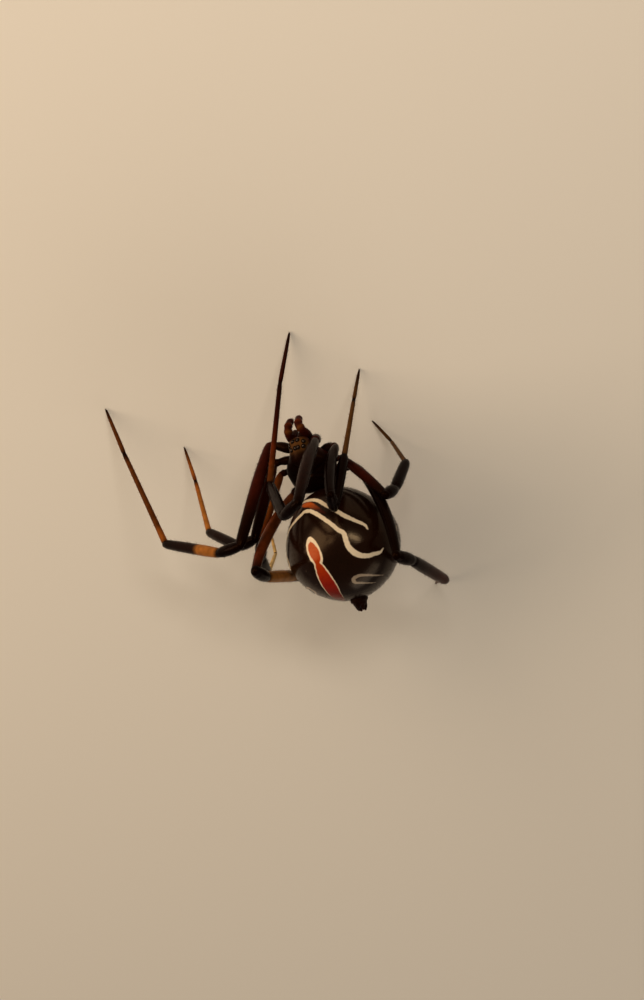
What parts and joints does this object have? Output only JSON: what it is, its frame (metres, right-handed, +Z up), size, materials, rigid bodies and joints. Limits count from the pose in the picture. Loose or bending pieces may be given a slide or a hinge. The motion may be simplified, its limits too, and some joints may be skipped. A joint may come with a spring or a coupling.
{
  "type": "black widow spider",
  "caption": "Still life-size model of a young female black widow spider, standing on its feet: glossy globe abdomen with pale lines and a red mark, slender banded legs.",
  "frame": {"origin": "middle of the ground that the spider spans, at the level its feet stand on", "axes": "+Z up, the head towards -Y, the animal's left side towards +X; Y is the longest side of the box"},
  "size_m": [0.0148, 0.0169, 0.011],
  "materials": {
    "abdomen_cuticle": "glossy black-brown cuticle with cream lines and a red mark, set with short dark bristles",
    "soft_cuticle": "satin dark brown cuticle",
    "carapace_cuticle": "satin to glossy dark reddish-brown shell",
    "sternum_cuticle": "satin dark brown shell",
    "eye_lens": "clear dark polished lens",
    "femur_cuticle": "satin reddish-brown cuticle, darker towards the knee",
    "patella_cuticle": "glossy black-brown cuticle",
    "tibia_cuticle": "satin cuticle, orange-tan band near the knee and black-brown beyond",
    "foot_cuticle": "fine-bristled brown cuticle with dark joints and tips",
    "palp_cuticle": "satin orange-brown cuticle with dark ends"
  },
  "bodies": {
    "root": {"abdomen": "abdomen_cuticle", "spinnerets": "soft_cuticle", "carapace": "carapace_cuticle", "sternum": "sternum_cuticle", "pedicel": "soft_cuticle", "mouthparts": "sternum_cuticle", "chelicera_left": "carapace_cuticle", "chelicera_right": "carapace_cuticle", "eye_front_middle_left": "eye_lens", "eye_front_middle_right": "eye_lens", "eye_front_side_left": "eye_lens", "eye_front_side_right": "eye_lens", "eye_rear_middle_left": "eye_lens", "eye_rear_middle_right": "eye_lens", "eye_rear_side_left": "eye_lens", "eye_rear_side_right": "eye_lens", "leg1_left_coxa": "femur_cuticle", "leg1_left_femur": "femur_cuticle", "leg1_left_patella": "patella_cuticle", "leg1_left_tibia": "tibia_cuticle", "leg1_left_foot": "foot_cuticle", "leg2_left_coxa": "femur_cuticle", "leg2_left_femur": "femur_cuticle", "leg2_left_patella": "patella_cuticle", "leg2_left_tibia": "tibia_cuticle", "leg2_left_foot": "foot_cuticle", "leg3_left_coxa": "femur_cuticle", "leg3_left_femur": "femur_cuticle", "leg3_left_patella": "patella_cuticle", "leg3_left_tibia": "tibia_cuticle", "leg3_left_foot": "foot_cuticle", "leg4_left_coxa": "femur_cuticle", "leg4_left_femur": "femur_cuticle", "leg4_left_patella": "patella_cuticle", "leg4_left_tibia": "tibia_cuticle", "leg4_left_foot": "foot_cuticle", "leg1_right_coxa": "femur_cuticle", "leg1_right_femur": "femur_cuticle", "leg1_right_patella": "patella_cuticle", "leg1_right_tibia": "tibia_cuticle", "leg1_right_foot": "foot_cuticle", "leg2_right_coxa": "femur_cuticle", "leg2_right_femur": "femur_cuticle", "leg2_right_patella": "patella_cuticle", "leg2_right_tibia": "tibia_cuticle", "leg2_right_foot": "foot_cuticle", "leg3_right_coxa": "femur_cuticle", "leg3_right_femur": "femur_cuticle", "leg3_right_patella": "patella_cuticle", "leg3_right_tibia": "tibia_cuticle", "leg3_right_foot": "foot_cuticle", "leg4_right_coxa": "femur_cuticle", "leg4_right_femur": "femur_cuticle", "leg4_right_patella": "patella_cuticle", "leg4_right_tibia": "tibia_cuticle", "leg4_right_foot": "foot_cuticle", "palp_left": "palp_cuticle", "palp_right": "palp_cuticle"}
  },
  "joints": []
}
